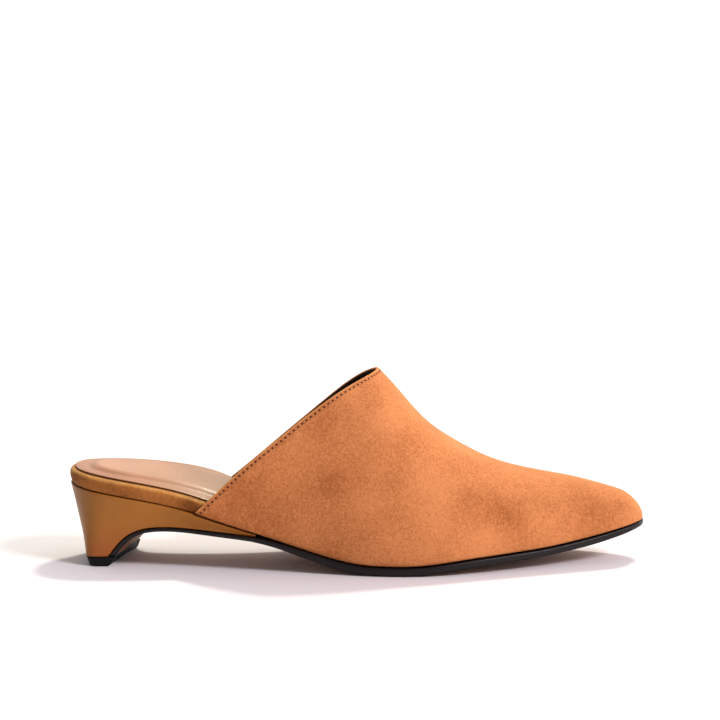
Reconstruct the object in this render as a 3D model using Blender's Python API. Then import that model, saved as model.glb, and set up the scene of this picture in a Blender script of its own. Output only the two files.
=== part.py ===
"""Block heel mule, right shoe: upper, footbed, sock, heel, outsole and top lift.

Metres, +Z up, toe along +X, inner (big toe) side along +Y. Every piece is shaped from one last:
its plan, its seat line, its crest and its topline are short tables in shares of the sizes below.
"""

import bmesh
import bpy
import numpy as np

MM = 0.001

# Driving sizes
LENGTH = 266 * MM  # heel's back to the toe tip, along the floor
BALL_WIDTH = 86 * MM  # unit for every width of the plan
HEEL_HEIGHT = 31.8 * MM  # seat line at the back above the seat line at the ball
THROAT_HEIGHT = 88 * MM  # peak of the vamp above the floor, unit for the upper's heights

# Thicknesses
WALL = 1.6 * MM  # suede and lining of the upper
GAP = 0.3 * MM  # clearance between pieces that touch
BAND = 7.0 * MM  # footbed edge at the seat
BOARD = 4.0 * MM  # footbed under the ball
SOLE = 3.9 * MM  # outsole under the ball
LIFT = 4.2 * MM  # rubber top lift
LIFT_TAPER = 2.2 * MM  # how much further in the lift's ends stand at the floor
HEEL_CLEAR = 0.65 * MM  # how much higher the upper's edge lies where it runs over the heel
HEEL_SET = 9.8 * MM  # back of the heel's base in front of the back of the seat
SOCK = 0.8 * MM  # sock leather
PAD = 1.7 * MM  # rise of the sock's padded middle

# Round ends of the plan
BACK_ROUND = 29 * MM  # how far the round of the heel reaches forward
TIP_ROUND = 8.5 * MM  # radius of the pointed toe
TIP_REACH = 10 * MM  # how far the toe's nose rounds over backward
BOARD_END = 0.9917 * LENGTH  # toe end of the last's plan
BULGE = 3.1 * MM  # how far the upper swells out above the sole
RUNGS = 4  # faces across a flat top or bottom

# Share of length, then centre line, outer half width and inner half width in ball widths
PLAN = (
    (0.000, 0.012, 0.314, 0.314),
    (0.056, 0.002, 0.326, 0.326),
    (0.113, -0.012, 0.331, 0.331),
    (0.169, -0.029, 0.331, 0.314),
    (0.226, -0.047, 0.326, 0.286),
    (0.301, -0.070, 0.321, 0.270),
    (0.376, -0.087, 0.335, 0.283),
    (0.451, -0.098, 0.368, 0.326),
    (0.526, -0.103, 0.414, 0.386),
    (0.583, -0.100, 0.432, 0.428),
    (0.620, -0.097, 0.431, 0.444),
    (0.658, -0.089, 0.417, 0.447),
    (0.714, -0.075, 0.375, 0.419),
    (0.771, -0.050, 0.327, 0.357),
    (0.827, -0.026, 0.270, 0.290),
    (0.883, -0.006, 0.208, 0.221),
    (0.932, 0.008, 0.153, 0.162),
    (0.970, 0.019, 0.113, 0.114),
    (1.004, 0.028, 0.073, 0.073),
)

# Share of length, then rise of the seat line above the ball at the outer and inner edge, in heel
# heights
SEAT = (
    (0.000, 1.000, 1.000),
    (0.038, 0.956, 0.965),
    (0.075, 0.915, 0.950),
    (0.113, 0.865, 0.937),
    (0.150, 0.811, 0.925),
    (0.188, 0.748, 0.903),
    (0.226, 0.660, 0.865),
    (0.263, 0.557, 0.799),
    (0.297, 0.469, 0.682),
    (0.331, 0.390, 0.522),
    (0.368, 0.302, 0.371),
    (0.406, 0.214, 0.242),
    (0.432, 0.151, 0.157),
    (0.455, 0.094, 0.094),
    (0.477, 0.050, 0.050),
    (0.500, 0.019, 0.019),
    (0.530, 0.000, 0.000),
    (0.594, 0.000, 0.000),
    (0.624, 0.022, 0.022),
    (0.658, 0.053, 0.053),
    (0.699, 0.091, 0.091),
    (0.741, 0.113, 0.113),
    (0.778, 0.135, 0.135),
    (0.820, 0.160, 0.160),
    (0.865, 0.208, 0.208),
    (0.906, 0.264, 0.264),
    (0.951, 0.340, 0.340),
    (1.004, 0.450, 0.450),
)

# Top face of the outsole from the foot of the breast to the waist: share of length, how far the
# outer edge lies behind it (share of length), rise above the ball at the outer and inner edge in
# heel heights, outer and inner edge in ball widths, thickness in sole thicknesses
BREAST = (
    (0.091, 0.013, 0.009, 0.009, -0.286, 0.235, 0.77),
    (0.098, 0.013, 0.088, 0.091, -0.288, 0.237, 0.67),
    (0.108, 0.014, 0.188, 0.195, -0.293, 0.242, 0.64),
    (0.119, 0.012, 0.296, 0.312, -0.300, 0.248, 0.62),
    (0.131, 0.009, 0.371, 0.397, -0.307, 0.251, 0.56),
    (0.144, 0.006, 0.418, 0.455, -0.314, 0.251, 0.51),
    (0.162, 0.003, 0.443, 0.494, -0.322, 0.248, 0.49),
    (0.188, 0.000, 0.450, 0.519, -0.334, 0.241, 0.49),
    (0.218, 0.000, 0.437, 0.526, -0.349, 0.231, 0.51),
    (0.248, 0.000, 0.415, 0.519, -0.366, 0.223, 0.56),
    (0.278, 0.000, 0.397, 0.500, -0.386, 0.219, 0.60),
    (0.305, 0.000, 0.377, 0.475, -0.407, 0.220, 0.60),
    (0.327, 0.000, 0.359, 0.457, -0.424, 0.228, 0.60),
)

# Share of length, height of the upper's crest in throat heights
CREST = (
    (0.188, 1.375),
    (0.301, 1.318),
    (0.376, 1.250),
    (0.432, 1.175),
    (0.481, 1.091),
    (0.511, 1.039),
    (0.533, 0.992),
    (0.557, 0.917),
    (0.578, 0.841),
    (0.599, 0.764),
    (0.620, 0.700),
    (0.641, 0.653),
    (0.662, 0.615),
    (0.703, 0.544),
    (0.744, 0.491),
    (0.786, 0.457),
    (0.827, 0.433),
    (0.872, 0.408),
    (0.914, 0.376),
    (0.940, 0.353),
    (0.970, 0.327),
    (1.004, 0.307),
)

# Share of length, height of the topline on the outer and inner side in throat heights
TOPLINE = (
    (0.188, 0.188, 0.148),
    (0.226, 0.290, 0.250),
    (0.248, 0.352, 0.311),
    (0.296, 0.491, 0.432),
    (0.342, 0.612, 0.548),
    (0.366, 0.668, 0.610),
    (0.405, 0.766, 0.707),
    (0.444, 0.852, 0.805),
    (0.482, 0.924, 0.898),
    (0.511, 0.965, 0.958),
    (0.533, 0.992, 0.992),
    (0.564, 1.027, 1.027),
)

# Share of length, how full the upper's section is on the outer and inner side (1 is an ellipse)
FULLNESS = (
    (0.188, 1.00, 1.00),
    (0.533, 1.05, 1.00),
    (0.640, 1.00, 0.92),
    (0.800, 0.90, 0.86),
    (1.004, 0.84, 0.84),
)


def curve(rows, column, unit, base=0.0):
    """Smooth monotone curve through one column of a table, as a function of the distance."""
    x = np.array([row[0] for row in rows]) * LENGTH
    y = np.array([row[column] for row in rows]) * unit + base
    step = np.diff(x)
    slope = np.diff(y) / step
    tangent = np.zeros(len(x))
    tangent[0] = slope[0]
    tangent[-1] = slope[-1]
    for k in range(1, len(x) - 1):
        if slope[k - 1] * slope[k] > 0:
            before = 2 * step[k] + step[k - 1]
            after = step[k] + 2 * step[k - 1]
            tangent[k] = (before + after) / (before / slope[k - 1] + after / slope[k])

    def at(s):
        s = np.clip(s, x[0], x[-1])
        k = np.clip(np.searchsorted(x, s, side="right") - 1, 0, len(step) - 1)
        t = (s - x[k]) / step[k]
        rest = 1 - t
        ends = y[k] * (1 + 2 * t) * rest**2 + y[k + 1] * t**2 * (3 - 2 * t)
        return ends + step[k] * t * rest * (tangent[k] * rest - tangent[k + 1] * t)

    return at


centre = curve(PLAN, 1, BALL_WIDTH)
outer_half = curve(PLAN, 2, BALL_WIDTH)
inner_half = curve(PLAN, 3, BALL_WIDTH)
seat_outer = curve(SEAT, 1, HEEL_HEIGHT, SOLE + GAP)
seat_inner = curve(SEAT, 2, HEEL_HEIGHT, SOLE + GAP)
crest = curve(CREST, 1, THROAT_HEIGHT)
topline_outer = curve(TOPLINE, 1, THROAT_HEIGHT)
topline_inner = curve(TOPLINE, 2, THROAT_HEIGHT)
full_outer = curve(FULLNESS, 1, 1.0)
full_inner = curve(FULLNESS, 2, 1.0)


def smooth_step(s, start, end):
    """0 before start, 1 after end (shares of length), smooth between them."""
    t = np.clip((s / LENGTH - start) / (end - start), 0, 1)
    return t * t * (3 - 2 * t)


def half_width(s, side, out, end=BOARD_END, tip=TIP_ROUND):
    """Half width of the plan at s, grown outward by out, with its back and toe rounded off."""
    width = np.where(side < 0, outer_half(s), inner_half(s)) + out
    back = np.clip((s + out) / (BACK_ROUND + out), 0, 1)
    nose = np.clip((end + out - s) / (tip + out), 0, 1)
    return width * (1 - (1 - back) ** 2.2) ** (1 / 2.2) * (1 - (1 - nose) ** 2) ** 0.5


def seat(s, y):
    """Height of the seat line's surface: the inner side of the waist lies higher."""
    outer = seat_outer(s)
    inner = seat_inner(s)
    across = (y - centre(s) + outer_half(s)) / (outer_half(s) + inner_half(s))
    return outer + (inner - outer) * across


def edge(s, side, out, end=BOARD_END, tip=TIP_ROUND):
    """Side position of the plan's edge, on the outer side (-1) or the inner side (1)."""
    return centre(s) + side * half_width(s, side, out, end, tip)


def board_thickness(s):
    """Footbed thickness: deep at the seat, thin under the ball and thinner at the toe."""
    thin = BOARD + (0.75 * BOARD - BOARD) * smooth_step(s, 0.75, 0.95)
    return BAND + (thin - BAND) * smooth_step(s, 0.23, 0.45)


def stations(count, start, end):
    """Distances from start to end, closer together at both ends."""
    t = np.linspace(0, 1, count + 1)
    return start + (end - start) * (0.25 * t + 0.75 * (1 - np.cos(np.pi * t)) / 2)


def plan_ring(count, out, height, end=BOARD_END, tip=TIP_ROUND):
    """Outer and inner edge of one closed ring: height is a function of s and y."""
    s = stations(count, -out, end + out)
    ring = []
    for side in (-1, 1):
        y = edge(s, side, out, end, tip)
        ring.append(np.column_stack((s, y, height(s, y))))
    return ring


def make_object(name, mesh, colour, roughness):
    """One named object with its own plain material, faces pointing outward."""
    bmesh.ops.remove_doubles(mesh, verts=mesh.verts, dist=2e-6)
    bmesh.ops.dissolve_degenerate(mesh, dist=1e-6, edges=mesh.edges)
    bmesh.ops.recalc_face_normals(mesh, faces=mesh.faces)
    if mesh.calc_volume(signed=True) < 0:
        bmesh.ops.reverse_faces(mesh, faces=mesh.faces)
    data = bpy.data.meshes.new(name)
    mesh.to_mesh(data)
    mesh.free()
    material = bpy.data.materials.new(name)
    material.use_nodes = True
    shader = material.node_tree.nodes["Principled BSDF"]
    shader.inputs["Base Color"].default_value = (*colour, 1.0)
    shader.inputs["Roughness"].default_value = roughness
    data.materials.append(material)
    data.shade_smooth()
    part = bpy.data.objects.new(name, data)
    bpy.context.scene.collection.objects.link(part)
    return part


def ladder_solid(rings):
    """Closed mesh through rings of an outer and an inner edge, bottom ring first."""
    mesh = bmesh.new()
    rows = []
    for ring in rings:
        rows.append([[mesh.verts.new(point) for point in side] for side in ring])
    for low, high in zip(rows, rows[1:]):
        for side in (0, 1):
            for k in range(len(low[side]) - 1):
                corners = (low[side][k], low[side][k + 1], high[side][k + 1], high[side][k])
                mesh.faces.new(corners)
    caps = []
    for row in (rows[0], rows[-1]):
        rungs = []
        for left, right in zip(*row):
            inner = [mesh.verts.new(left.co.lerp(right.co, k / RUNGS)) for k in range(1, RUNGS)]
            rungs.append([left, *inner, right])
        for near, far in zip(rungs, rungs[1:]):
            for k in range(RUNGS):
                mesh.faces.new((near[k], near[k + 1], far[k + 1], far[k]))
        caps.append(rungs)
    for k in (0, -1):
        if (rows[0][0][k].co - rows[0][1][k].co).length > 0.1 * MM:
            up = [row[1][k] for row in rows[1:-1]]
            down = [row[0][k] for row in reversed(rows[1:-1])]
            mesh.faces.new([*caps[0][k], *up, *reversed(caps[1][k]), *down])
    return mesh


def make_footbed():
    """Board wrapped in suede: its edge is the band that shows round the open back."""

    def at(depth, drop):
        return lambda s, y: seat(s, y) + board_thickness(s) * depth + drop

    end = BOARD_END - 4 * MM
    rings = [
        plan_ring(34, -1.6 * MM, at(0, 0), end),
        plan_ring(34, -1.0 * MM, at(0, 0.6 * MM), end),
        plan_ring(34, -0.2 * MM, at(0.45, 0), end),
        plan_ring(34, -0.2 * MM, at(1, -2.0 * MM), end),
        plan_ring(34, -0.8 * MM, at(1, -0.7 * MM), end),
        plan_ring(34, -2.0 * MM, at(1, 0), end),
    ]
    return make_object("footbed", ladder_solid(rings), (0.35, 0.17, 0.07), 0.9)


def make_sock():
    """Leather sock: a flat margin and a padded middle that rises with a soft slope."""

    def at(rise):
        return lambda s, y: seat(s, y) + board_thickness(s) + GAP + rise

    end = 0.9 * LENGTH
    rings = []
    for out, rise in (
        (-2.9, 0.0),
        (-2.6, 0.5 * SOCK),
        (-3.0, SOCK),
        (-8.6, SOCK),
        (-9.6, SOCK + 0.15 * PAD),
        (-11.0, SOCK + 0.6 * PAD),
        (-12.6, SOCK + 0.92 * PAD),
        (-14.6, SOCK + PAD),
    ):
        rings.append(plan_ring(30, out * MM, at(rise), end, 18 * MM))
    return make_object("sock", ladder_solid(rings), (0.75, 0.42, 0.26), 0.5)


def breast_edge(side, down, spread):
    """Edge of the outsole's top face from the breast to the waist, moved down its own normal.

    down is a share of the sole's thickness there, plus a clearance in metres; spread widens it.
    """
    share, clearance = down
    rows = np.array(BREAST)
    s = (rows[:, 0] + side * rows[:, 1]) * LENGTH
    z = rows[:, 3 if side > 0 else 2] * HEEL_HEIGHT + SOLE + GAP
    y = rows[:, 5 if side > 0 else 4] * BALL_WIDTH + side * spread
    along = np.gradient(s)
    rise = np.gradient(z)
    level = 1 - smooth_step(s, 0.28, 0.33)
    size = np.hypot(along, rise * level)
    move = share * rows[:, 6] * SOLE + clearance
    x = s + move * rise * level / size
    z = z - move * along / size
    x[0] = s[0] + move[0]
    z[0] = LIFT + GAP
    return np.column_stack((x, y, z))


def sole_side(side, down, spread):
    """One edge of the outsole: the breast and waist, then the seat line forward to the toe."""
    share, clearance = down
    back = breast_edge(side, down, spread)
    grown = 2.6 * MM + spread
    t = np.linspace(0, 1, 31)[1:]
    eased = 0.3 * t + 0.7 * np.sin(np.pi / 2 * t)
    start = 0.327 * LENGTH
    s = start + (BOARD_END + grown - start) * eased
    y = edge(s, side, grown)
    thick = SOLE * (0.6 + 0.4 * smooth_step(s, 0.32, 0.46) - 0.25 * smooth_step(s, 0.9, 1.0))
    z = seat(s, y) - GAP - share * thick - clearance
    drop = (1 - smooth_step(s, 0.327, 0.36)) * (1.5 * MM - GAP)
    return np.vstack((back, np.column_stack((s, y, z - drop))))


def make_outsole():
    """Leather outsole with inked edges, from the toe to the flap that lines the breast."""
    rings = []
    for share, spread in ((1.0, -0.3), (0.85, 0.3), (0.15, 0.2), (0.0, -0.3)):
        rings.append([sole_side(side, (share, 0), spread * MM) for side in (-1, 1)])
    return make_object("outsole", ladder_solid(rings), (0.02, 0.015, 0.015), 0.45)


def lift_half(t, side):
    """Half width of the heel's base at t along it, from its back (0) to its front (1)."""
    middle = (BREAST[0][4] + BREAST[0][5]) / 2 * BALL_WIDTH
    half = (BREAST[0][5] - BREAST[0][4]) / 2 * BALL_WIDTH
    round_back = (1 - (1 - np.clip(t / 0.7, 0, 1)) ** 4) ** (1 / 4)
    return middle, side * half * round_back


def base_edge(side, out, front, count, taper=0.0):
    """Edge of the heel's base in plan: a D with its front turned like the breast.

    taper draws both ends in, the front most on the outer side.
    """
    t = (1 - np.cos(np.linspace(0, np.pi / 2, count + 1))) ** 1.1
    back = HEEL_SET - out + 0.8 * taper
    middle, half = lift_half(t, side)
    y = middle + half * (1 + out / (0.26 * BALL_WIDTH))
    turn = (BREAST[0][1] * LENGTH + 0.4 * taper) * (y - middle) / (0.26 * BALL_WIDTH)
    return back + (front - taper - back) * t + turn * t**0.5, y


def make_heel():
    """Leather-covered block: the seat on top, the D-shaped base, and a wedge under the waist."""
    under = [breast_edge(side, (0, -GAP), -0.3 * MM) for side in (-1, 1)]
    count = 12
    bottom = []
    top = []
    for side, waist in zip((-1, 1), under):
        x, y = base_edge(side, 0, BREAST[0][0] * LENGTH - 2 * GAP, count)
        base = np.column_stack((x, y, np.full(len(x), LIFT + GAP)))
        bottom.append(np.vstack((base[:-1], waist)))
        steps = len(bottom[-1])
        share = np.linspace(0, 1, steps)
        s = (BREAST[-1][0] * LENGTH + 1.0 * MM) * share**1.45
        grown = -1.1 * MM + 3.0 * MM * smooth_step(s, 0.18, 0.24)
        s = s - grown[0] * (1 - share) ** 3
        y = edge(s, side, grown)
        top.append(np.column_stack((s, y, seat(s, y) - GAP)))
    rings = []
    for share, hollow in ((0.0, 0.0), (0.12, 0.2), (0.4, 0.7), (0.7, 0.6), (0.93, 0.1), (1.0, 0.0)):
        outer, inner = [low + (high - low) * share for low, high in zip(bottom, top)]
        pull = hollow * MM * np.minimum(1, (inner[:, 1] - outer[:, 1]) / (18 * MM))
        outer[:, 1] += pull
        inner[:, 1] -= pull
        rings.append([outer, inner])
    return make_object("heel", ladder_solid(rings), (0.3, 0.13, 0.045), 0.4)


def make_top_lift():
    """Rubber lift under the heel's base and under the foot of the breast."""
    rings = []
    front = BREAST[0][0] * LENGTH + BREAST[0][6] * SOLE
    for out, height in ((-0.4, 0.0), (0.0, 0.4), (0.2, LIFT / MM - 0.4), (-0.1, LIFT / MM)):
        ring = []
        for side in (-1, 1):
            taper = LIFT_TAPER * (1 - height * MM / LIFT)
            x, y = base_edge(side, out * MM, front + out * MM, 14, taper)
            ring.append(np.column_stack((x, y, np.full(len(x), height * MM))))
        rings.append(ring)
    return make_object("top_lift", ladder_solid(rings), (0.015, 0.013, 0.013), 0.6)


def foot_height(s, side):
    """Height of the upper's lower edge, raised a little where it runs over the heel's front."""
    rise = HEEL_CLEAR * (1 - smooth_step(s, 0.31, 0.42))
    return np.where(side < 0, seat_outer(s), seat_inner(s)) + rise


def upper_point(s, turn):
    """Inside of the upper: turn runs from 0 (outer edge) over 90 (crest) to 180 degrees."""
    side = np.where(turn < np.pi / 2, -1, 1)
    nose = np.clip((BOARD_END + GAP - s) / TIP_REACH, 0, 1)
    blunt = (1 - (1 - nose) ** 2) ** 0.5
    full = np.where(side < 0, full_outer(s), full_inner(s))
    foot = edge(s, side, GAP)
    base = foot_height(s, side)
    top = centre(s) * 0.25
    reach = np.abs(np.cos(turn)) ** full
    swell = side * BULGE * smooth_step(s, 0.2, 0.5) * blunt * np.abs(np.sin(2 * turn))
    y = top + (foot - top) * reach + swell
    z = base + (crest(s) - base) * blunt * np.sin(turn)
    return np.stack((s, y, z), axis=-1)


def topline_start(turn):
    """Distance at which the topline crosses one line of the upper, found by halving."""
    low = np.full(len(turn), 0.19 * LENGTH)
    high = np.full(len(turn), 0.56 * LENGTH)
    for _ in range(40):
        s = (low + high) / 2
        line = np.where(turn < np.pi / 2, topline_outer(s), topline_inner(s))
        above = upper_point(s, turn)[:, 2] > line
        low = np.where(above, s, low)
        high = np.where(above, high, s)
    return (low + high) / 2


def outward(grid):
    """Unit normals of a grid of points, pointing away from the foot."""
    along = np.gradient(grid, axis=0)
    around = np.gradient(grid, axis=1)
    normal = np.cross(along, around)
    return normal / np.maximum(np.linalg.norm(normal, axis=2, keepdims=True), 1e-12)


def make_upper():
    """Hollow vamp: inner and outer surface, the topline's rim and the open underside."""
    turn = np.linspace(0, np.pi, 37)
    start = topline_start(turn)
    eased = np.sin(np.pi / 2 * np.linspace(0, 1, 29)[:-1])
    reach = BOARD_END + GAP
    end = reach + WALL
    s = start[None, :] + (reach - start[None, :]) * eased[:, None]
    inside = upper_point(s, np.broadcast_to(turn, s.shape))
    outside = inside + WALL * outward(inside)
    for column, side in ((0, -1), (-1, 1)):
        along = start[column] + (end - start[column]) * eased
        outside[:, column, 0] = along
        outside[:, column, 1] = edge(along, side, GAP + WALL)
        outside[:, column, 2] = foot_height(along, side)
    tip_y = float(centre(end))
    tip_z = float(seat_outer(end))
    mesh = bmesh.new()
    shells = []
    for grid, nose in ((outside, end), (inside, reach)):
        rows = [[mesh.verts.new(point) for point in row] for row in grid]
        tip = mesh.verts.new((nose, tip_y, tip_z))
        for low, high in zip(rows, rows[1:]):
            for k in range(len(low) - 1):
                mesh.faces.new((low[k], low[k + 1], high[k + 1], high[k]))
        for k in range(len(rows[-1]) - 1):
            mesh.faces.new((rows[-1][k], rows[-1][k + 1], tip))
        border = [row[0] for row in reversed(rows)] + rows[0][1:-1] + [row[-1] for row in rows]
        shells.append(border + [tip])
    for k in range(len(shells[0])):
        pair = (shells[0][k - 1], shells[0][k], shells[1][k], shells[1][k - 1])
        mesh.faces.new(pair)
    return make_object("upper", mesh, (0.62, 0.27, 0.11), 0.95)


def stand_on_origin(parts):
    """Move the shoe so that the origin is the middle of its box, at the floor."""
    corners = np.array([tuple(v.co) for part in parts for v in part.data.vertices])
    low = corners.min(axis=0)
    high = corners.max(axis=0)
    middle = (low + high) / 2
    for part in parts:
        for vertex in part.data.vertices:
            vertex.co.x -= middle[0]
            vertex.co.y -= middle[1]
            vertex.co.z -= low[2]


for old in list(bpy.data.objects):
    bpy.data.objects.remove(old)
stand_on_origin(
    [make_upper(), make_footbed(), make_sock(), make_heel(), make_outsole(), make_top_lift()]
)
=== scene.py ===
"""Block heel mule in tan suede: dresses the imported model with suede, leather, thread and rubber.

Metres, +Z up, toe along +X, outer side along -Y. Each piece starts from a copy of the CAD solid
that it stands for, merged to quads, so that it keeps the last's shape.
"""

import math

import bmesh
import bpy
import numpy as np
from bpy.props import FloatProperty, FloatVectorProperty, IntProperty, PointerProperty
from mathutils import Matrix, Vector, kdtree


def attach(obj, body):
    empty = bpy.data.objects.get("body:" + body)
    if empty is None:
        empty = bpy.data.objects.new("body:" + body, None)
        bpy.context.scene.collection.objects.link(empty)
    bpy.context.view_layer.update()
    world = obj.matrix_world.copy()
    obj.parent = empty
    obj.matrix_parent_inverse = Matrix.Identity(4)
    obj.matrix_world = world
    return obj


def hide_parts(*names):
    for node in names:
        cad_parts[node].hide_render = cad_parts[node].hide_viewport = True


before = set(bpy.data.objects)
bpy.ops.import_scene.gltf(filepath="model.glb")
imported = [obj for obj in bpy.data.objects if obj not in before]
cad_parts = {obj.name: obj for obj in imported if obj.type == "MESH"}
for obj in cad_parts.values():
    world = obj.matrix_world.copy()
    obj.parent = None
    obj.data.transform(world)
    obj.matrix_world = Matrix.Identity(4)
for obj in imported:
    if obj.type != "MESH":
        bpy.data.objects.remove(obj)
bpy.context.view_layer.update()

bl_info = {
    "name": "Block heel mule",
    "version": (1, 0, 0),
    "blender": (4, 5, 0),
    "location": "View3D > Sidebar > Mule",
    "description": "Makes the suede upper, padded sock, leather heel and sole of a mule",
    "category": "Object",
}

MM = 0.001

# Tone of the brushed nap where the hand has turned it, with painted shade low at the back end
# where the outer side turns from the light: x and z on the outer side in mm, radius in mm, tone
# (below 0 is darker)
NAP_TONE_AND_SHADE = (
    (-9, 71, 9, -0.7),
    (-12, 41, 11, -0.9),
    (7, 77, 8, -0.5),
    (3, 63, 9, -0.4),
    (-5, 79, 7, 0.6),
    (-3, 56, 12, 0.5),
    (12, 69, 10, 0.4),
    (21, 62, 9, -0.5),
    (33, 62, 10, 0.1),
    (-46, 34, 14, -0.6),
    (-30, 27, 12, -0.5),
    (54, 29, 10, -0.8),
    (68, 25, 9, -0.8),
    (76, 15, 8, -0.6),
    (56, 14, 10, 0.6),
    (84, 21, 10, 0.4),
    (96, 28, 9, -0.2),
    (120, 25, 7, -0.5),
    # painted shade: the next two darken the back end of the outer side, where it turns from the
    # light
    (-64, 26, 16, -0.7),
    (-32, 12, 16, -0.7),
    (4, 6, 14, -0.1),
    (35, 35, 14, 0.4),
    (10, 26, 13, -0.1),
    (30, 15, 12, 0.3),
)

# Soft creases of the outer side: x and z of both ends in mm, half width and depth in mm
CREASES = (
    (4, 82, 11, 68, 4, 0.4),
    (17, 71, 23, 59, 4, 0.3),
    (-10, 50, 16, 40, 7, 0.35),
    (-40, 30, -22, 44, 6, 0.3),
    (47, 34, 56, 20, 5, 0.4),
    (63, 31, 71, 17, 5, 0.35),
)

# Tone along the band round the seat, partly its nap and partly painted shade, darker at the back
# end where it turns from the light and where the upper meets it: x in mm, half width in mm, tone
BAND_TONE_AND_SHADE = ((-132, 9, -1.7), (-88, 9, 0.7), (-74, 5, -1.4), (-110, 5, -0.5))

# Steepest turn in degrees between two faces of one surface, from which on it is another surface
TURN_OF_WALL = 50
TURN_OF_FLAT = 20
TURN_OF_TREAD = 30
TURN_OF_EDGE = 32

# Shares of the clouds, tufts, single fibres and brushed places, with their painted shade, in the
# tone of the suede
CLOUDS = 0.75
TUFTS = 0.45
FIBRES = 0.85
STROKES = 0.26
TONE_BASE = 0.11

# Depth of relief
NAP_DEPTH = 0.16 * MM
PORE_DEPTH = 0.04 * MM
GRAIN_DEPTH = 0.05 * MM

# Where the colour changes: distance from the sock's edge to its padded middle, then x of the sock
# towards the ball where painted shade under the vamp sets in, height of the heel's base and x of
# the heel's back where painted shade sets in
PAD_MARGIN = (6.5 * MM, 12 * MM)
SOCK_VAMP_SHADE = (-105 * MM, -65 * MM)
HEEL_BASE = (4 * MM, 24 * MM)
HEEL_BACK_SHADE = (-132 * MM, -112 * MM)

# Name, direction, spread in degrees, strength and colour of each lamp
LAMPS = (
    ("key", (0.32, 0.75, 1.0), 7.0, 2.1, (1.0, 0.95, 0.8)),
    ("fill", (0.8, -0.55, 0.75), 16.0, 2.1, (1.0, 0.92, 1.0)),
)


def linear(code):
    """An sRGB hex value as linear red, green and blue."""
    parts = [int(code[k : k + 2], 16) / 255 for k in (0, 2, 4)]
    return [c / 12.92 if c <= 0.04045 else ((c + 0.055) / 1.055) ** 2.4 for c in parts]


def size(name, text, default):
    """A size that a user may change."""
    return FloatProperty(
        name=name, description=text, default=default, unit="LENGTH", precision=5
    )


def colour(name, text, code):
    """A colour that a user may change."""
    return FloatVectorProperty(
        name=name,
        description=text,
        subtype="COLOR",
        size=3,
        min=0.0,
        max=1.0,
        default=linear(code),
    )


class MuleSizes(bpy.types.PropertyGroup):
    """Sizes of what is sewn, rounded and inked on the shoe."""

    stitch_pitch: size("Stitch pitch", "Distance from one stitch to the next", 2.45 * MM)
    stitch_inset: size("Stitch inset", "Distance of the row from the topline's edge", 1.7 * MM)
    stitch_length: size("Stitch length", "Thread that shows between two holes", 1.3 * MM)
    thread: size("Thread", "Diameter of the sewing thread", 0.5 * MM)
    hole: size("Needle hole", "Diameter of one needle hole", 1.15 * MM)
    fold: size("Folded edge", "Round of the folded topline", 0.5 * MM)
    ink: size("Inked margin", "Black that runs round under the edge of the sole", 1.3 * MM)
    nap: size("Nap", "Width of one tuft of the suede's nap", 0.9 * MM)
    levels: IntProperty(name="Smoothing", description="Subdivision steps", default=2, max=3)


class MuleColours(bpy.types.PropertyGroup):
    """Colours of the shoe's leathers, thread, ink and rubber."""

    suede_light: colour("Suede, brushed up", "Nap that leans to the light", "DB8C56")
    suede_dark: colour("Suede, brushed down", "Nap that leans away from it", "A1582A")
    band_light: colour("Band, light", "Suede round the footbed", "B06D35")
    # dark end of the band's tone, which also carries its painted shade
    band_dark: colour("Band, dark", "Suede round the footbed, pressed", "6E3A16")
    # painted highlight: the colour laid along the suede's edge lines
    painted_edge_highlight: colour("Suede edge", "Nap that catches the light along an edge", "EDB264")
    # near black: dark leather together with painted shade inside the vamp
    lining: colour("Lining", "Leather inside the vamp", "1C1006")
    sock: colour("Sock", "Padded middle of the sock", "BE8A66")
    sock_edge: colour("Sock margin", "Flat margin of the sock", "AC7450")
    # painted shade: the sock darkened under the vamp
    sock_front_shade: colour("Sock, under the vamp", "Sock towards the ball", "9A7250")
    heel: colour("Heel cover", "Smooth leather over the heel", "AA6A24")
    heel_red: colour("Heel cover, low", "Heel leather towards its base", "A65B27")
    # painted shade: darker olive where the heel's back turns from the light
    heel_back_shade: colour("Heel cover, back", "Heel leather round the back", "8A591A")
    ink: colour("Edge ink", "Black ink on the sole's edge", "120C0D")
    sole: colour("Sole leather", "Underside of the sole", "8F5B36")
    rubber: colour("Top lift", "Black rubber under the heel", "0C0A0A")
    thread: colour("Thread", "Sewing thread", "CB8656")
    hole: colour("Needle hole", "Shade in a needle hole", "45200F")
    floor: colour("Floor", "Pale studio floor", "E8E4E6")


def add_node(tree, kind, inputs=None, **settings):
    """Adds a node; inputs are values or the sockets that feed them."""
    node = tree.nodes.new(kind)
    for key, value in settings.items():
        setattr(node, key, value)
    for key, value in (inputs or {}).items():
        if isinstance(value, bpy.types.NodeSocket):
            tree.links.new(value, node.inputs[key])
        else:
            node.inputs[key].default_value = value
    return node


def new_material(name, **sockets):
    """A material with one Principled shader; sockets are set on it directly."""
    material = bpy.data.materials.new(name)
    material.use_nodes = True
    tree = material.node_tree
    tree.nodes.clear()
    shader = add_node(tree, "ShaderNodeBsdfPrincipled")
    add_node(tree, "ShaderNodeOutputMaterial", {"Surface": shader.outputs[0]})
    for key, value in sockets.items():
        shader.inputs[key.replace("_", " ")].default_value = value
    return material, tree, shader


def flat(paint):
    """A colour property as the four values of a colour socket."""
    return (*paint, 1.0)


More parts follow.
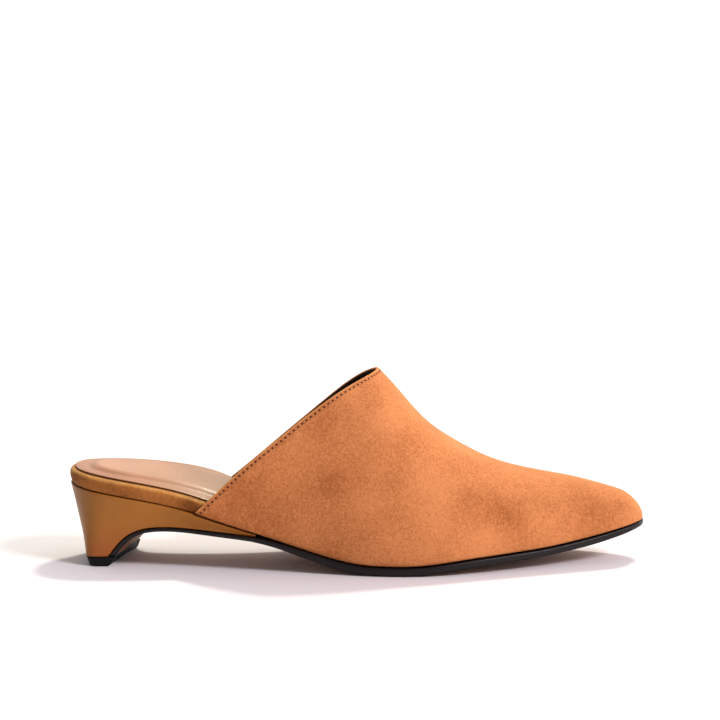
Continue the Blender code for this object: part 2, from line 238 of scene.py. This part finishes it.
def noise_at(tree, width, detail=2.0, rough=0.5, stretch=(1, 1, 1)):
    """Noise on the shoe's own coordinates whose grains are about width wide, as a socket."""
    place = add_node(tree, "ShaderNodeTexCoord").outputs["Object"]
    if stretch != (1, 1, 1):
        place = add_node(tree, "ShaderNodeMapping", {"Vector": place, "Scale": stretch}).outputs[0]
    settings = {"Vector": place, "Scale": 0.5 / width, "Detail": detail, "Roughness": rough}
    return add_node(tree, "ShaderNodeTexNoise", settings).outputs["Fac"]


def ramp(tree, value, low, high, to_low=0.0, to_high=1.0):
    """Smooth step of a value from low to high, as a socket."""
    settings = {"Value": value, 1: low, 2: high, 3: to_low, 4: to_high}
    return add_node(
        tree, "ShaderNodeMapRange", settings, interpolation_type="SMOOTHSTEP"
    ).outputs[0]


def maths(tree, operation, first, second=0.0, third=0.0):
    """One step of arithmetic, as a socket."""
    inputs = {0: first, 1: second, 2: third}
    return add_node(tree, "ShaderNodeMath", inputs, operation=operation).outputs[0]


def mixed(tree, share, first, second, blend="MIX"):
    """Two colours mixed, as a socket."""
    inputs = {"Factor": share, "A": first, "B": second}
    node = tree.nodes.new("ShaderNodeMix")
    node.data_type = "RGBA"
    node.blend_type = blend
    for key, value in inputs.items():
        kind = "VALUE" if key == "Factor" else "RGBA"
        socket = next(s for s in node.inputs if s.name == key and s.type == kind)
        if isinstance(value, bpy.types.NodeSocket):
            tree.links.new(value, socket)
        else:
            socket.default_value = value
    return next(s for s in node.outputs if s.type == "RGBA")


def bumped(tree, shader, height, depth):
    """Relief of a given depth in metres on the shader."""
    inputs = {"Height": height, "Distance": depth, "Strength": 1.0}
    bump = add_node(tree, "ShaderNodeBump", inputs)
    tree.links.new(bump.outputs[0], shader.inputs["Normal"])


def suede(name, light, dark, highlight, nap, lit, sewn=0.0, stretch=(1.0, 1.0, 0.8)):
    """Split calf leather, buffed to a nap: matt, clouded where the nap is turned, with a sheen on
    its fuzz and a painted highlight along an edge line. The real nap is about 0.2 mm; it is drawn
    coarser to show.

    lit is how far from the edge line the painted highlight reaches, as near and far distance, and
    sewn is how far from that line a row of stitches sits in a groove that painted shade darkens.
    """
    material, tree, shader = new_material(
        name,
        Roughness=0.95,
        Specular_IOR_Level=0.15,
        Sheen_Weight=0.18,
        Sheen_Roughness=0.45,
        Sheen_Tint=(1.0, 0.72, 0.38, 1.0),
    )
    cloud = noise_at(tree, 10 * MM, 3.0, 0.5)
    tuft = noise_at(tree, nap, 2.0, 0.6, stretch)
    fibre = noise_at(tree, nap * 0.5, 1.0, 0.5)
    # the brushed attribute carries the nap's tone and painted shade
    brushed = add_node(tree, "ShaderNodeAttribute", attribute_name="brushed").outputs["Fac"]
    tone = maths(tree, "MULTIPLY_ADD", cloud, CLOUDS, TONE_BASE)
    tone = maths(tree, "MULTIPLY_ADD", tuft, TUFTS, tone)
    tone = maths(tree, "MULTIPLY_ADD", fibre, FIBRES, tone)
    tone = maths(tree, "MULTIPLY_ADD", brushed, STROKES, tone)
    tone = ramp(tree, tone, 0.45, 1.55)
    body = mixed(tree, tone, flat(dark), flat(light))
    height = maths(tree, "MULTIPLY_ADD", fibre, 0.4, tuft)
    # painted highlight along the edge line, broken up by the tufts
    edge = add_node(tree, "ShaderNodeAttribute", attribute_name="edge").outputs["Fac"]
    highlight_share = ramp(tree, edge, lit[0], lit[1], 0.75, 0.0)
    body = mixed(tree, maths(tree, "MULTIPLY", highlight_share, tuft), body, flat(highlight))
    if sewn:
        off = maths(tree, "ABSOLUTE", maths(tree, "SUBTRACT", edge, sewn))
        groove = ramp(tree, off, 0.2 * MM, 1.1 * MM)
        # painted shade along the stitch row's groove
        shade = ramp(tree, off, 0.1 * MM, 1.0 * MM, 0.45, 0.0)
        body = mixed(tree, shade, body, flat(dark))
        height = maths(tree, "MULTIPLY_ADD", groove, 1.2, height)
    tree.links.new(body, shader.inputs["Base Color"])
    bumped(tree, shader, height, NAP_DEPTH)
    return material


def smooth_leather(name, dye, grain, rough, coat=0.0):
    """Grain leather, dyed and ironed smooth: fine pores, slight clouding, a soft satin gloss.

    dye is a colour, or a function that makes one in the material's tree.
    """
    material, tree, shader = new_material(
        name, IOR=1.5, Specular_IOR_Level=0.25, Coat_Weight=coat, Coat_Roughness=0.25
    )
    cloud = noise_at(tree, 16 * MM, 2.0)
    pores = noise_at(tree, grain, 3.0, 0.6)
    shade = ramp(tree, cloud, 0.3, 0.7, 0.88, 1.08)
    dyed = dye(tree) if callable(dye) else flat(dye)
    lit = add_node(tree, "ShaderNodeCombineColor", {"Red": shade, "Green": shade, "Blue": shade})
    body = mixed(tree, 1.0, dyed, lit.outputs[0], "MULTIPLY")
    tree.links.new(body, shader.inputs["Base Color"])
    gloss = ramp(tree, pores, 0.3, 0.7, rough - 0.06, rough + 0.08)
    tree.links.new(gloss, shader.inputs["Roughness"])
    bumped(tree, shader, pores, PORE_DEPTH)
    return material


def grained(name, paint, specular, grain, low, high):
    """Ink or rubber: one colour, whose fine grain varies its gloss between two roughnesses."""
    material, tree, shader = new_material(
        name, Base_Color=flat(paint), Specular_IOR_Level=specular
    )
    relief = noise_at(tree, grain, 2.0)
    tree.links.new(ramp(tree, relief, 0.3, 0.7, low, high), shader.inputs["Roughness"])
    bumped(tree, shader, relief, GRAIN_DEPTH)
    return material


def merged(node, join=40, skew=70):
    """A copy of a CAD solid whose loose triangles are merged and joined to quads."""
    mesh = bmesh.new()
    mesh.from_mesh(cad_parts[node].data)
    mesh.edges.layers.float.new("crease_edge")
    bmesh.ops.remove_doubles(mesh, verts=mesh.verts, dist=2e-6)
    bmesh.ops.join_triangles(
        mesh,
        faces=mesh.faces,
        angle_face_threshold=math.radians(join),
        angle_shape_threshold=math.radians(skew),
    )
    return mesh


def region(seed, limit):
    """Faces reached from one face without crossing an edge sharper than the limit in degrees."""
    found = {seed}
    front = [seed]
    while front:
        for edge in front.pop().edges:
            if edge.calc_face_angle(0.0) < math.radians(limit):
                new = [face for face in edge.link_faces if face not in found]
                found.update(new)
                front.extend(new)
    return found


def border(faces):
    """Edges on the outline of a set of faces."""
    edges = {edge for face in faces for edge in face.edges}
    return [edge for edge in edges if any(face not in faces for face in edge.link_faces)]


def chained(edges):
    """Points along a row of edges, from its outer side's end to its inner side's end."""
    links = {}
    for edge in edges:
        for vert in edge.verts:
            links.setdefault(vert, []).append(edge)
    ends = [vert for vert, found in links.items() if len(found) == 1]
    vert = min(ends, key=lambda v: v.co.y)
    points = [vert.co.copy()]
    used = set()
    while True:
        onward = [edge for edge in links[vert] if edge not in used]
        if not onward:
            return points
        used.add(onward[0])
        vert = onward[0].other_vert(vert)
        points.append(vert.co.copy())


def sampled(pairs, step=0.3 * MM):
    """Search tree of points along straight lines between pairs of points."""
    points = []
    for start, end in pairs:
        count = max(1, int((end - start).length / step))
        points += [start.lerp(end, k / count) for k in range(count + 1)]
    tree = kdtree.KDTree(len(points))
    for k, point in enumerate(points):
        tree.insert(point, k)
    tree.balance()
    return tree


def outline_of(faces):
    """Ends of each edge on the outline of a set of faces."""
    return [(edge.verts[0].co.copy(), edge.verts[1].co.copy()) for edge in border(faces)]


def set_values(data, name, values):
    """Writes one number for each point of a mesh."""
    layer = data.attributes.new(name, "FLOAT", "POINT")
    layer.data.foreach_set("value", np.array(values, dtype=np.float32))


def set_distance(data, name, pairs):
    """Writes each point's distance to a row of straight lines."""
    tree = sampled(pairs)
    set_values(data, name, [tree.find(vert.co)[2] for vert in data.vertices])


def piece(name, mesh, materials, levels, node):
    """A finished, smooth piece that rides on the shoe, in place of a CAD node if one is named."""
    data = bpy.data.meshes.new(name)
    mesh.to_mesh(data)
    mesh.free()
    for material in materials:
        data.materials.append(material)
    # The CAD's own normals would show its facets, so they go
    for layer in [a for a in data.attributes if a.name == "custom_normal"]:
        data.attributes.remove(layer)
    made = bpy.data.objects.new(name, data)
    bpy.context.scene.collection.objects.link(made)
    if levels:
        modifier = made.modifiers.new("Smooth", "SUBSURF")
        modifier.levels = levels
        modifier.render_levels = levels
        modifier.use_limit_surface = False
        graph = bpy.context.evaluated_depsgraph_get()
        smooth = bpy.data.meshes.new_from_object(made.evaluated_get(graph))
        made.modifiers.clear()
        made.data = smooth
        bpy.data.meshes.remove(data)
        smooth.name = name
    made.data.shade_smooth()
    if node:
        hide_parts(node)
    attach(made, "root")
    return made


def hardened(mesh, edges, amount):
    """Keeps a row of edges sharp when the mesh is smoothed."""
    layer = mesh.edges.layers.float["crease_edge"]
    for edge in edges:
        edge[layer] = amount


def sharp_edges(mesh):
    """Edges of a block where its sides meet."""
    return [e for e in mesh.edges if e.calc_face_angle(0.0) > math.radians(TURN_OF_EDGE)]


def nap_and_shade_tone(place):
    """How far the nap is brushed up or down at one place, with painted shade at the back end of
    the outer side; it fades out on the inner side.
    """
    tone = 0.0
    for x, z, radius, amount in NAP_TONE_AND_SHADE:
        near = math.hypot(place.x / MM - x, place.z / MM - z) / radius
        tone += amount * math.exp(-near * near)
    return tone * min(1.0, max(0.0, 0.5 - place.y / 0.03))


def band_tone_and_shade(place):
    """How far the band is darkened or lightened at one place along the shoe, by its nap and by
    painted shade.
    """
    x = place.x / MM
    return sum(t * math.exp(-(((x - at) / w) ** 2)) for at, w, t in BAND_TONE_AND_SHADE)


def crease_dip(place):
    """Depth in mm of the soft creases at one place; they run out at the crest and differ a
    little between both sides."""
    side = -1 if place.y < 0 else 1
    wall = min(1.0, max(0.0, (abs(place.y) - 5 * MM) / (12 * MM)))
    dip = 0.0
    for x, z, far_x, far_z, width, depth in CREASES:
        start = Vector((x + 3 * side, z))
        line = Vector((far_x + 3 * side, far_z)) - start
        here = Vector((place.x / MM, place.z / MM)) - start
        share = min(1.0, max(0.0, here.dot(line) / line.length_squared))
        off = (here - share * line).length / width
        dip += depth * math.exp(-off * off)
    return dip * wall


class MULE_OT_vamp(bpy.types.Operator):
    """Suede upper with its folded topline and leather lining"""

    bl_idname = "mule.vamp"
    bl_label = "Vamp"

    def execute(self, context):
        sizes = context.scene.mule_sizes
        paint = context.scene.mule_colours
        mesh = merged("upper")
        widest = min(mesh.faces, key=lambda f: f.calc_center_median().y)
        outer = region(widest, TURN_OF_WALL)
        under = [f for f in mesh.faces if f not in outer and f.normal.z < -0.5]
        inner = region(max(under, key=lambda f: f.calc_center_median().z), TURN_OF_WALL)
        if outer & inner:
            raise RuntimeError("the upper's outer and inner surface could not be told apart")
        rim = {f for f in mesh.faces if f not in outer and f not in inner and f.normal.z > -0.4}
        for face in mesh.faces:
            face.material_index = 0 if face in outer or face in rim else 1
        topline = [e for e in border(outer) if any(f in rim for f in e.link_faces)]
        inside = [e for e in border(inner) if any(f in rim for f in e.link_faces)]
        points = chained(topline)
        feather = [e for e in border(outer) if e not in topline]
        feather += [e for e in border(inner) if e not in inside]
        hardened(mesh, feather, 1.0)
        bmesh.ops.bevel(
            mesh,
            geom=topline + inside,
            affect="EDGES",
            offset=sizes.fold,
            segments=2,
            profile=0.5,
            material=-1,
        )
        # Matt tan suede; a painted highlight along its folded edge, and its stitch row lies in a
        # groove darkened by painted shade
        cover = suede(
            "suede calf, buffed",
            light=paint.suede_light,
            dark=paint.suede_dark,
            highlight=paint.painted_edge_highlight,
            nap=sizes.nap,
            lit=(0.2 * MM, 0.8 * MM),
            sewn=sizes.stitch_inset,
        )
        # Dull dark leather, made near black as painted shade inside the vamp, which shows as a
        # dark sliver behind the topline
        lining = smooth_leather("lining calf, darkened as painted shade", paint.lining, grain=0.7 * MM, rough=0.6)
        made = piece("vamp", mesh, [cover, lining], sizes.levels, "upper")
        data = made.data
        set_distance(data, "edge", zip(points, points[1:]))
        # nap tone, with painted shade at the back end of the outer side
        set_values(data, "brushed", [nap_and_shade_tone(vert.co) for vert in data.vertices])
        for vert in data.vertices:
            side = -1 if vert.co.y < 0 else 1
            vert.co.y -= side * crease_dip(vert.co) * MM
        context.scene["topline"] = [c for point in points for c in point]
        return {"FINISHED"}


class MULE_OT_stitches(bpy.types.Operator):
    """Row of stitches along the topline, with needle holes drawn as dark discs of painted shade"""

    bl_idname = "mule.stitches"
    bl_label = "Topline stitches"

    def execute(self, context):
        sizes = context.scene.mule_sizes
        paint = context.scene.mule_colours
        vamp = bpy.data.objects["vamp"]
        numbers = list(context.scene["topline"])
        points = [Vector(numbers[k : k + 3]) for k in range(0, len(numbers), 3)]
        lengths = np.cumsum([0.0] + [(b - a).length for a, b in zip(points, points[1:])])
        coords = np.array([tuple(p) for p in points])

        def at(distance):
            return Vector([float(np.interp(distance, lengths, coords[:, k])) for k in range(3)])

        count = int(lengths[-1] / sizes.stitch_pitch)
        first = (lengths[-1] - (count - 1) * sizes.stitch_pitch) / 2
        shapes = {"stitches": bmesh.new(), "needle_holes": bmesh.new()}
        for k in range(2 * count - 1):
            distance = first + k * sizes.stitch_pitch / 2
            here = at(distance)
            along = (at(distance + MM) - at(distance - MM)).normalized()
            _, spot, normal, _ = vamp.closest_point_on_mesh(here + Vector((0.004, 0, -0.001)))
            inward = normal.cross(along).normalized()
            if inward.x < 0:
                inward = -inward
            _, spot, normal, _ = vamp.closest_point_on_mesh(here + sizes.stitch_inset * inward)
            side = normal.cross(along).normalized()
            ahead = side.cross(normal).normalized()
            turn = Matrix((ahead, side, normal)).transposed().to_4x4()
            if k % 2:
                scale = (sizes.stitch_length, sizes.thread, 0.8 * sizes.thread)
                shape = shapes["stitches"]
                lift = -0.05 * sizes.thread
            else:
                # painted shade: a flat dark disc for the shade in each needle hole
                scale = (sizes.hole, 0.85 * sizes.hole, 0.16 * sizes.hole)
                shape = shapes["needle_holes"]
                lift = 0.0
            place = Matrix.Translation(spot + lift * normal) @ turn
            place = place @ Matrix.Diagonal((*scale, 1.0))
            bmesh.ops.create_uvsphere(shape, u_segments=8, v_segments=5, radius=0.5, matrix=place)
        # Light, matt thread between dark discs of painted shade that stand for the holes, so that
        # the row reads as dots from afar
        thread, tree, shader = new_material(
            "polyester thread, twisted",
            Base_Color=flat(paint.thread),
            Roughness=0.8,
            Specular_IOR_Level=0.2,
        )
        bumped(tree, shader, noise_at(tree, 0.3 * MM), GRAIN_DEPTH)
        hole, _, _ = new_material(
            "needle hole, shaded", Base_Color=flat(paint.hole), Roughness=1.0
        )
        for name, material in (("stitches", thread), ("needle_holes", hole)):
            piece(name, shapes[name], [material], 0, None)
        return {"FINISHED"}


class MULE_OT_footbed(bpy.types.Operator):
    """Suede-wrapped footbed whose edge shows as a band round the open back"""

    bl_idname = "mule.footbed"
    bl_label = "Footbed"

    def execute(self, context):
        sizes = context.scene.mule_sizes
        paint = context.scene.mule_colours
        mesh = merged("footbed")
        top = max(mesh.faces, key=lambda f: f.normal.z + f.calc_center_median().z)
        outline = outline_of(region(top, TURN_OF_FLAT))
        # Darker suede, pulled round the board: upright tufts and a painted golden highlight along
        # the top
        cover = suede(
            "suede calf, wrapped",
            light=paint.band_light,
            dark=paint.band_dark,
            highlight=paint.painted_edge_highlight,
            nap=sizes.nap,
            lit=(1.2 * MM, 2.6 * MM),
            stretch=(1.0, 1.0, 0.3),
        )
        data = piece("footbed_band", mesh, [cover], sizes.levels, "footbed").data
        set_distance(data, "edge", outline)
        # nap tone, with painted shade at the back end and where the upper meets the band
        set_values(data, "brushed", [band_tone_and_shade(vert.co) for vert in data.vertices])
        return {"FINISHED"}


class MULE_OT_sock(bpy.types.Operator):
    """Padded leather sock with a flat margin"""

    bl_idname = "mule.sock"
    bl_label = "Sock"

    def execute(self, context):
        sizes = context.scene.mule_sizes
        paint = context.scene.mule_colours
        mesh = merged("sock")
        low = min(mesh.faces, key=lambda f: f.normal.z)
        outline = outline_of(region(low, TURN_OF_TREAD))

        def tint(tree):
            """Paler on the padded middle, darker on the margin, and darker towards the ball with
            painted shade under the vamp.
            """
            inset = add_node(tree, "ShaderNodeAttribute", attribute_name="inset").outputs["Fac"]
            share = ramp(tree, inset, *PAD_MARGIN)
            body = mixed(tree, share, flat(paint.sock_edge), flat(paint.sock))
            place = add_node(tree, "ShaderNodeTexCoord").outputs["Object"]
            along = add_node(tree, "ShaderNodeSeparateXYZ", {0: place}).outputs["X"]
            # painted shade under the vamp, towards the ball
            vamp_shade = ramp(tree, along, *SOCK_VAMP_SHADE)
            return mixed(tree, vamp_shade, body, flat(paint.sock_front_shade))

        # Soft satin leather with a thin finish, so that the pad's ridge shines
        cover = smooth_leather(
            "sock calf, aniline", tint, grain=0.6 * MM, rough=0.45, coat=0.1
        )
        made = piece("sock_cover", mesh, [cover], sizes.levels, "sock")
        set_distance(made.data, "inset", outline)
        return {"FINISHED"}


class MULE_OT_heel(bpy.types.Operator):
    """Block heel covered in smooth leather"""

    bl_idname = "mule.heel"
    bl_label = "Heel"

    def execute(self, context):
        sizes = context.scene.mule_sizes
        paint = context.scene.mule_colours
        mesh = merged("heel")
        hardened(mesh, sharp_edges(mesh), 0.9)

        def tint(tree):
            """Redder towards the heel's base, and darker olive round its back as painted shade."""
            place = add_node(tree, "ShaderNodeTexCoord").outputs["Object"]
            where = add_node(tree, "ShaderNodeSeparateXYZ", {0: place})
            share = ramp(tree, where.outputs["Z"], *HEEL_BASE, 1.0, 0.0)
            body = mixed(tree, share, flat(paint.heel), flat(paint.heel_red))
            # painted shade round the heel's back
            back = ramp(tree, where.outputs["X"], *HEEL_BACK_SHADE, 1.0, 0.0)
            return mixed(tree, back, body, flat(paint.heel_back_shade))

        # Golden brown leather, polished to an even satin without a wet shine
        cover = smooth_leather("heel calf, polished", tint, grain=0.8 * MM, rough=0.42)
        piece("heel_cover", mesh, [cover], sizes.levels, "heel")
        return {"FINISHED"}


class MULE_OT_sole(bpy.types.Operator):
    """Leather outsole with inked edges and the rubber top lift"""

    bl_idname = "mule.sole"
    bl_label = "Outsole and top lift"

    def execute(self, context):
        sizes = context.scene.mule_sizes
        paint = context.scene.mule_colours
        mesh = merged("outsole")
        low = min(mesh.faces, key=lambda f: f.calc_center_median().z + 0.01 * f.normal.z)
        tread = region(low, TURN_OF_TREAD)
        outline = outline_of(tread)
        for face in mesh.faces:
            face.material_index = 1 if face in tread else 0
        # Black ink under wax: a narrow soft shine along the sole's edge
        inked = grained("sole edge, inked and waxed", paint.ink, 0.3, 0.8 * MM, 0.32, 0.48)

        def tint(tree):
            """Tan sole leather inside a black margin."""
            inset = add_node(tree, "ShaderNodeAttribute", attribute_name="inset").outputs["Fac"]
            share = ramp(tree, inset, sizes.ink - 0.15 * MM, sizes.ink + 0.15 * MM)
            return mixed(tree, share, flat(paint.ink), flat(paint.sole))

        # Firm leather under the shoe, rolled flat and only half matt
        tan = smooth_leather("sole leather, rolled", tint, grain=1.0 * MM, rough=0.5)
        made = piece("sole_leather", mesh, [inked, tan], sizes.levels, "outsole")
        set_distance(made.data, "inset", outline)
        mesh = merged("top_lift")
        hardened(mesh, sharp_edges(mesh), 0.8)
        # Dull black rubber, a little rougher than the inked edge above it
        rubber = grained("rubber, moulded", paint.rubber, 0.2, 0.5 * MM, 0.5, 0.7)
        piece("top_lift_rubber", mesh, [rubber], sizes.levels, "top_lift")
        return {"FINISHED"}


class MULE_OT_stage(bpy.types.Operator):
    """Pale floor, soft studio light and the camera"""

    bl_idname = "mule.stage"
    bl_label = "Stage"

    def execute(self, context):
        scene = context.scene
        paint = scene.mule_colours
        mesh = bmesh.new()
        bmesh.ops.create_grid(mesh, x_segments=1, y_segments=1, size=4.0)
        data = bpy.data.meshes.new("floor")
        mesh.to_mesh(data)
        mesh.free()
        floor = bpy.data.objects.new("floor", data)
        floor.location.z = -0.05 * MM
        scene.collection.objects.link(floor)
        paper, _, _ = new_material("paper, matt", Base_Color=flat(paint.floor), Roughness=0.9)
        data.materials.append(paper)

        world = bpy.data.worlds.new("studio")
        world.use_nodes = True
        tree = world.node_tree
        ray = add_node(tree, "ShaderNodeTexCoord").outputs["Generated"]
        facing = add_node(
            tree, "ShaderNodeVectorMath", {0: ray, 1: (0.6, 0.8, 0.0)}, operation="DOT_PRODUCT"
        ).outputs["Value"]
        tree.links.new(
            ramp(tree, facing, -0.5, 0.6, 0.28, 1.05),
            tree.nodes["Background"].inputs["Strength"],
        )
        tree.nodes["Background"].inputs["Color"].default_value = (1.0, 1.0, 1.0, 1.0)
        scene.world = world
        for name, aim, spread, power, tint in LAMPS:
            light = bpy.data.lights.new(name, "SUN")
            light.angle = math.radians(spread)
            light.energy = power
            light.color = tint
            lamp = bpy.data.objects.new(name, light)
            lamp.location = Vector(aim)
            lamp.rotation_euler = Vector(aim).to_track_quat("Z", "Y").to_euler()
            scene.collection.objects.link(lamp)

        lens = bpy.data.cameras.new("camera")
        lens.sensor_width = 36.0
        lens.lens = 109.5
        lens.clip_start = 0.05
        camera = bpy.data.objects.new("camera", lens)
        camera.location = (0.0012, -0.9926, 0.2)
        camera.rotation_euler = (math.radians(83.8), 0.0, 0.0)
        scene.collection.objects.link(camera)
        scene.camera = camera
        scene.view_settings.view_transform = "Standard"
        return {"FINISHED"}


OPERATORS = (
    MULE_OT_vamp,
    MULE_OT_stitches,
    MULE_OT_footbed,
    MULE_OT_sock,
    MULE_OT_heel,
    MULE_OT_sole,
    MULE_OT_stage,
)


class MULE_PT_panel(bpy.types.Panel):
    """Lists the mule's sizes, colours and pieces"""

    bl_idname = "MULE_PT_panel"
    bl_label = "Block heel mule"
    bl_space_type = "VIEW_3D"
    bl_region_type = "UI"
    bl_category = "Mule"

    def draw(self, context):
        for group in (context.scene.mule_sizes, context.scene.mule_colours):
            box = self.layout.box()
            for name in group.__annotations__:
                box.prop(group, name)
        for operator in OPERATORS:
            self.layout.operator(operator.bl_idname)


CLASSES = (MuleSizes, MuleColours, *OPERATORS, MULE_PT_panel)


def register():
    for kind in CLASSES:
        bpy.utils.register_class(kind)
    bpy.types.Scene.mule_sizes = PointerProperty(type=MuleSizes)
    bpy.types.Scene.mule_colours = PointerProperty(type=MuleColours)


def unregister():
    del bpy.types.Scene.mule_sizes
    del bpy.types.Scene.mule_colours
    for kind in reversed(CLASSES):
        bpy.utils.unregister_class(kind)


def main():
    """Makes every piece and the stage."""
    register()
    for operator in OPERATORS:
        group, name = operator.bl_idname.split(".")
        getattr(getattr(bpy.ops, group), name)()


if __name__ == "__main__":
    main()
